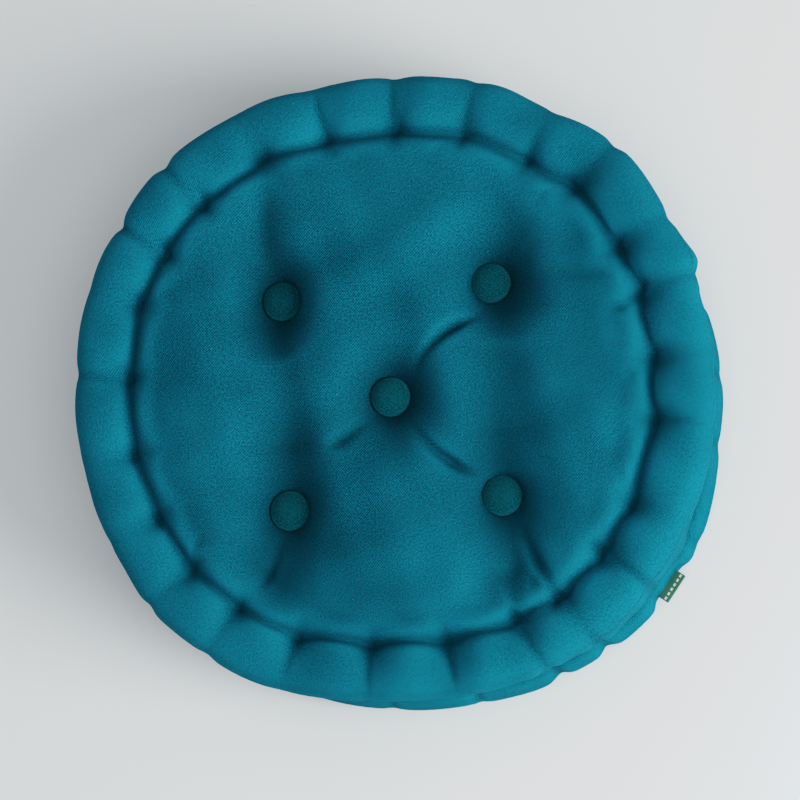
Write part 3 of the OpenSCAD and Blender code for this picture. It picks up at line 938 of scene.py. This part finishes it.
def side_wall():
    """The band between the two seams, its ends joined at the hand-sewn closing."""
    top_puff, top_lip, top_hem = seam_edge(upper, TOP_SEAM, -1)
    low_puff, low_lip, low_hem = seam_edge(lower, SEAM, -1)
    rows = [top_hem, top_lip, top_puff, *upper[RINGS[TOP_SEAM + 1:WAIST]]]
    rows += [(upper[RINGS[WAIST]] + lower[RINGS[WAIST]]) / 2]
    rows += [*lower[RINGS[SEAM + 1:WAIST]][::-1], low_puff, low_lip, low_hem]
    rows = np.array(rows)
    # The two simulated halves meet at the waist: its folds are evened out across it.
    middle = 3 + WAIST - TOP_SEAM - 1
    smooth = rows.copy()
    for _ in range(12):
        smooth[1:-1] = 0.5 * smooth[1:-1] + 0.25 * (smooth[:-2] + smooth[2:])
    near = np.clip(1 - np.abs(np.arange(len(rows)) - middle) / 6, 0, 1)[:, None, None]
    rows += near * (smooth - rows)
    # Columns start at the closing, so that the pattern runs from end to end.
    start = column_at(CLOSING)
    rows = np.roll(rows, -start, 1)
    dent = 0.0011 * np.clip(1 - np.abs(np.arange(len(rows)) - middle) / 9, 0, 1)[:, None]
    rows[:, 0, :2] -= dent * rows[:, 0, :2] / np.linalg.norm(rows[:, 0, :2], axis=1)[:, None]
    faces = ring_quads(len(rows), AROUND)
    down = np.concatenate([[0], np.cumsum(np.linalg.norm(np.diff(rows[:, 40], axis=0), axis=1))])
    corner_rows, corner_columns = np.divmod(faces, AROUND)
    corner_columns[(corner_columns == 0) & (corner_columns.max(1) == AROUND - 1)[:, None]] = AROUND
    pattern = np.stack([corner_columns * 2 * math.pi / AROUND * SEAM_R, -down[corner_rows]], -1)
    points = rows.reshape(-1, 3)
    obj = mesh_object("side_wall", points, faces, pattern.reshape(-1, 2), COVER, subdivide=1)
    add_wear_and_shade(obj, points, faces)
    stands_for(obj, "cover_cloth", "side_band")
    return rows


wall = side_wall()


def wadding():
    """The filling, as one closed form just inside the cover."""
    keep = sorted(set(range(0, len(RINGS), 2)) | {CHANNEL, GROOVE_RING, WAIST})
    block = BLOCK[::2, ::2]
    rings = RINGS[keep][:, ::2]
    count = len(upper)
    ends, others = face_edges(np.concatenate([square, ringed.reshape(-1, 4)]))

    def inset(points, up):
        """Points well inside the cover: under the lowest cloth nearby on the face, and in from the border."""
        height, reach = up * (points[:, 2] - MID_Z), axis_distance(points)
        deep, near = height.copy(), reach.copy()
        for _ in range(4):
            for value in (deep, near):
                np.minimum.at(value, ends, value[others])
                np.minimum.at(value, others, value[ends])
        on_face = np.ones(count, bool)
        on_face[RINGS[CHANNEL:].ravel()] = False
        out = points.copy()
        wanted = np.where(on_face, deep - 0.003, np.minimum(height, ROLL_Z) * 0.86)
        face_shrink = 1 - 0.010 * np.clip(reach / CHANNEL_R, 0, 1) ** 4
        shrink = np.where(on_face, face_shrink, (near - 0.006) / np.maximum(reach, 1e-6))
        out[:, 2] = MID_Z + up * wanted
        out[:, :2] *= shrink[:, None]
        return out

    top_in, low_in = inset(upper, 1), inset(lower, -1)
    low_in[RINGS[WAIST]] = top_in[RINGS[WAIST]]
    quads = np.concatenate([part.reshape(-1, 4) for part in grid_faces(block, rings)])
    merged = np.where(np.isin(quads, RINGS[WAIST]), quads, quads + count)[:, ::-1]
    points, faces = np.concatenate([top_in, low_in]), np.concatenate([quads, merged])
    obj = mesh_object("wadding_core", points, faces, None, WADDING)
    stands_for(obj, "wadding", "filling")


wadding()


# ---- Stitching ----

THREAD_R = 0.00042
TACK_HALF, STRAND_APART = 0.0032, 0.00075   # half of a tack's visible bar, and the pitch of its three strands
STITCH_HALF, STITCH_R = 0.0042, 0.0005      # the hand stitches of the closing


def finish_thread(name, parts, replaced):
    points, quads = joined(parts)
    stands_for(mesh_object(name, points, quads, None, THREAD), "thread", replaced)


def seam_stitches(name, points, seam, replaced):
    """Lockstitch along a seam: the thread dips under the cloth between stitches."""
    line = points[RINGS[seam]]
    each = 3                            # points of thread for each column of cloth
    at = np.arange(AROUND * each) / each
    line = np.stack([np.interp(at, np.arange(AROUND + 1), np.append(c, c[0])) for c in line.T], -1)
    r = axis_distance(line)
    dip = 0.0011 + 0.0004 * np.cos(np.arange(len(line)) * 2 * math.pi / 4)
    line[:, :2] *= ((r - dip) / r)[:, None]
    finish_thread(name, [tube(line, THREAD_R, 6, closed=True)], replaced)


def tack_threads(name, points, replaced):
    """A tack pulls the border in: three strands show in the channel, and three in the groove."""
    parts = []
    for number, degrees in enumerate(TACK_DEGREES):
        angle = math.radians(degrees)
        outward = np.array([math.cos(angle), math.sin(angle), 0.0])
        tangent = np.array([-outward[1], outward[0], 0.0])
        for ring, (lift_out, lift_up) in ((CHANNEL, (0, 0.0007)), (GROOVE_RING, (0.0007, 0))):
            middle = points[RINGS[ring][column_at(angle)]]
            up = 1 if middle[2] > MID_Z else -1
            for strand in (-1, 0, 1):
                t = np.linspace(-1, 1, 9)[:, None]
                bow = 0.5 * (1 - t**2) * (1 if strand == 0 else 0.4)
                across = np.array([0, 0, 1.0]) if ring == GROOVE_RING else outward
                offset = outward * lift_out + np.array([0, 0, up * lift_up])
                lean = 0.0003 * ((number * 7 + strand * 3) % 5 - 2)
                path = middle + offset * (1 + bow) + tangent * t * TACK_HALF
                path = path + across * (strand * STRAND_APART + lean * t)
                parts.append(tube(path, THREAD_R, 6))
    finish_thread(name, parts, replaced)


def closing_stitches():
    """Slanting hand stitches over the place where the band's ends meet."""
    heights = wall[:, 0, 2]
    low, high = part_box("closing_stitches")
    count, slope = 9, math.radians(20)
    parts = []
    for z in np.linspace(low.z + 0.0015, high.z - 0.0015, count):
        row = int(np.argmin(np.abs(heights - z)))
        middle, nearby = wall[row, 0], wall[row, 1]
        outward = np.array([*(middle[:2] / np.linalg.norm(middle[:2])), 0.0])
        tangent = nearby - middle
        tangent /= np.linalg.norm(tangent)
        t = np.linspace(-1, 1, 11)[:, None]
        rise = np.array([0, 0, math.tan(slope)])
        path = np.array([middle[0], middle[1], z]) + (tangent + rise) * t * STITCH_HALF
        path = path + outward * (0.0012 + 0.0008 * (1 - t**4))
        parts.append(tube(path, STITCH_R, 8))
    finish_thread("closing_ladder", parts, "closing_stitches")


seam_stitches("top_lockstitch", upper, TOP_SEAM, "top_seam_thread")
seam_stitches("bottom_lockstitch", lower, SEAM, "bottom_seam_thread")
tack_threads("top_tack_bars", upper, "top_edge_tacks")
tack_threads("bottom_tack_bars", lower, "bottom_edge_tacks")
closing_stitches()


# ---- The label ----


def label():
    """A folded loop of tape, its ends sewn into the bottom seam and its fold hanging outside."""
    joint = next(j for j in frame["joints"] if j["name"] == "label_fold")
    pivot = Vector(joint["pos_m"])
    outward = Vector((pivot.x, pivot.y, 0)).normalized()
    tangent = Vector((-outward.y, outward.x, 0))
    inside = 0.012                      # how much of the tape is hidden in the seam
    seam_point = Vector(lower[RINGS[SEAM][column_at(math.atan2(pivot.y, pivot.x))]])
    start = seam_point - outward * inside
    start.z = pivot.z
    out = inside + 0.0098
    width = 0.030
    thick, gap = 0.00045, 0.0008
    # Outer face of the loop in section: out along the upper layer, round the fold, and back.
    r = gap / 2 + thick
    n = 14
    upper_run = [(out * k / n, r) for k in range(n + 1)]
    fold = [(out + r * math.sin(a), r * math.cos(a)) for a in np.linspace(0, math.pi, 9)[1:-1]]
    outer = upper_run + fold + [(x, -z) for x, z in upper_run[::-1]]
    scale = (gap / 2) / r
    inner_fold = [(out + (x - out) * scale, z * scale) for x, z in fold]
    inner = [(x, z * scale) for x, z in upper_run] + inner_fold
    inner += [(x, -z * scale) for x, z in upper_run[::-1]]
    section = outer + inner[::-1]
    length = np.concatenate([[0], np.cumsum([math.dist(a, b) for a, b in zip(section, section[1:])])])
    across = np.linspace(-width / 2, width / 2, 19)
    points, pattern = [], []
    for y in across:
        wave = 0.0006 * math.sin(y / width * 2 * math.pi + 0.6)
        curl = 0.0008 * (2 * y / width) ** 2
        for (x, z), s in zip(section, length):
            past = max(0, (x - inside) / 0.0105)
            bent = Vector((0, 0, z + (wave + curl) * past - 0.0010 * past**2))
            points.append(start + outward * x + tangent * y + bent)
            pattern.append((y + width / 2, s))
    rows, columns = len(across), len(section)
    ids = np.arange(rows * columns).reshape(rows, columns)
    right = np.roll(ids, -1, 1)
    faces = np.stack([ids[:-1], right[:-1], right[1:], ids[1:]], -1).reshape(-1, 4)
    # Selvedges close the two sides of the tape.
    pairs = len(outer)
    edges = []
    for row, order in ((0, 1), (rows - 1, -1)):
        for k in range(pairs - 1):
            corners = (k, columns - 1 - k, columns - 2 - k, k + 1)
            edges.append([ids[row, c] for c in corners][::order])
    faces = np.concatenate([faces, edges])
    pattern = np.array(pattern)[faces.ravel()]
    obj = mesh_object("label_loop", np.array([tuple(p) for p in points]), faces, pattern, TAPE, body=None)
    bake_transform(obj)
    stands_for(obj, "label_tape", "label_tail", "label_flap")


label()


# ---- The buttons ----


def cap_section(height):
    """A covered button in section, as (r, z) from the top of its dome to the gather under it."""
    rim = 0.0023
    dome = [(BUTTON_R * t, height - (height - rim * 1.55) * t**2.6) for t in np.linspace(0.06, 0.94, 15)]
    edge = [
        (BUTTON_R - rim + rim * math.cos(a), rim + rim * math.sin(a))
        for a in np.radians(np.linspace(38, -88, 9))
    ]
    gather = [(BUTTON_R - rim - d, 0.0001 + 0.0002 * d / 0.008) for d in np.linspace(0.0012, 0.0050, 4)]
    return dome + edge + gather, len(dome)


def button(name, x, y, side):
    """A cloth-covered button: the cloth is drawn over a domed shell and gathered under it."""
    low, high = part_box(f"{side}_button_{name}_cover")
    height = high.z - low.z
    rng = np.random.default_rng(seed_of(name) + (side == "bottom"))
    around = 72
    angle = np.arange(around) * 2 * math.pi / around
    section, dome_rings = cap_section(height)
    pleats = rng.integers(15, 19)
    phase = rng.uniform(0, 2 * math.pi)
    lean = rng.normal(0, 0.0003, 2)
    points, pattern = [(x, y, height)], [(0.0, 0.0)]
    run, last = 0.0, (0.0, height)
    for k, (r, z) in enumerate(section):
        run += math.dist(last, (r, z))
        last = (r, z)
        under_rim = np.clip((k - dome_rings - 1) / 6, 0, 1)
        fold = 0.00028 * under_rim * np.cos(pleats * angle + phase + 0.4 * np.sin(3 * angle))
        slack = 0.00012 * np.cos(3 * angle + phase) * (k > 4)
        tilt = (lean[0] * np.cos(angle) + lean[1] * np.sin(angle)) * r / BUTTON_R
        drawn = r + np.minimum(fold, 0)
        rise = np.maximum(0, z + (tilt + slack) * (k < dome_rings))
        points += zip(x + drawn * np.cos(angle), y + drawn * np.sin(angle), rise)
        pattern += zip(run * np.cos(angle), run * np.sin(angle))
    points = np.array(points)
    heights = np.minimum(points[:, 2], height)
    points[:, 2] = low.z + heights if side == "top" else high.z - heights
    faces = [[0, 1 + k, 1 + (k + 1) % around] for k in range(around)]
    faces += ring_quads(len(section), around, start=1).tolist()
    if side == "bottom":
        faces = [face[::-1] for face in faces]
    uv = np.array(pattern)[np.concatenate(faces)]
    body = f"{side}_button_{name}"
    obj = smooth_object(f"{side}_cap_{name}", points.tolist(), faces, uv, BUTTON, 1, body)
    radius = np.hypot(points[:, 0] - x, points[:, 1] - y)
    # The cloth is painted paler in a narrow ring at the rim.
    pale_rim = 0.5 + 0.35 * bell(radius - 0.93 * BUTTON_R, 0.0012)
    obj.data.attributes.new("WearAndShade", "FLOAT", "POINT").data.foreach_set("value", pale_rim.astype(np.float32))
    stands_for(obj, "button_cloth", f"{body}_cover")


def seed_of(name):
    return sum(ord(c) * (k + 1) for k, c in enumerate(name))


for site, (x, y) in zip(SITES, BUTTONS):
    for side in ("top", "bottom"):
        button(site, x, y, side)


# ---- The CAD nodes that show as they are ----

for name, obj in frame["nodes"].items():
    if name.startswith("twine"):
        obj.data.materials.clear()
        obj.data.materials.append(TWINE)
    elif name.endswith(("_shell", "_back", "_loop")):
        obj.data.materials.clear()
        obj.data.materials.append(STEEL)


# ---- Floor, light and camera ----


def floor():
    made, shader = new_material("Pale floor", (0.66, 0.69, 0.70), 0.55)
    g = Graph(made)
    place = g.object_place()
    cloud = g.noise(place, 1.5, 4, 0.6)
    colour = g.colour_mix(cloud, (0.615, 0.635, 0.640, 1), (0.660, 0.675, 0.680, 1))
    g.set(shader.inputs["Base Color"], colour)
    g.bump(shader, g.noise(place, 350, 3, 0.6), 0.0002, 0.3)
    size = 4.0
    corners = [(-size, -size, 0), (size, -size, 0), (size, size, 0), (-size, size, 0)]
    mesh = bpy.data.meshes.new("studio_floor")
    mesh.from_pydata(corners, [], [(0, 1, 2, 3)])
    mesh.materials.append(made)
    obj = bpy.data.objects.new("studio_floor", mesh)
    bpy.context.scene.collection.objects.link(obj)


def area_light(name, place, target, size, power, colour):
    data = bpy.data.lights.new(name, "AREA")
    data.shape, data.size, data.energy, data.color = "DISK", size, power, colour
    obj = bpy.data.objects.new(name, data)
    obj.location = place
    obj.rotation_euler = (Vector(target) - Vector(place)).to_track_quat("-Z", "Y").to_euler()
    bpy.context.scene.collection.objects.link(obj)


def camera():
    """Nearly overhead, leaning a little towards the front right."""
    tilt, towards, roll, distance = math.radians(15), math.radians(-45.7), math.radians(2.59), 2.2
    back = Vector((math.sin(tilt) * math.cos(towards), math.sin(tilt) * math.sin(towards), math.cos(tilt)))
    right = Vector((math.sin(roll), math.cos(roll), 0)).cross(back).normalized()
    up = back.cross(right)
    place = Vector((0, 0.0055, MID_Z)) + back * distance
    data = bpy.data.cameras.new("Camera")
    data.lens, data.sensor_width = 104, 36
    obj = bpy.data.objects.new("Camera", data)
    obj.matrix_world = Matrix.Translation(place) @ Matrix((right, up, back)).transposed().to_4x4()
    bpy.context.scene.collection.objects.link(obj)
    bpy.context.scene.camera = obj


# How bright each level of light is shown. This is the renders' tone only.
TONE = ((0.03, 0.015), (0.065, 0.046), (0.12, 0.115), (0.22, 0.25), (0.45, 0.49), (0.72, 0.70), (0.92, 0.79))

floor()
centre = (0, 0, MID_Z)
area_light("Key", (2.9, -1.3, 1.7), centre, 2.0, 134, (1.0, 0.995, 0.985))
area_light("Top fill", (0.8, -0.8, 2.8), centre, 2.2, 27, (0.97, 0.99, 1.0))
world = bpy.data.worlds.new("Studio")
world.use_nodes = True
world.node_tree.nodes["Background"].inputs["Color"].default_value = (0.94, 0.98, 1.0, 1)
world.node_tree.nodes["Background"].inputs["Strength"].default_value = 0.50
bpy.context.scene.world = world
settings = bpy.context.scene.view_settings
settings.view_transform = "Standard"
settings.use_curve_mapping = True
tone = settings.curve_mapping.curves[3]
for level, shown in TONE:
    tone.points.new(level, shown)
settings.curve_mapping.update()
camera()
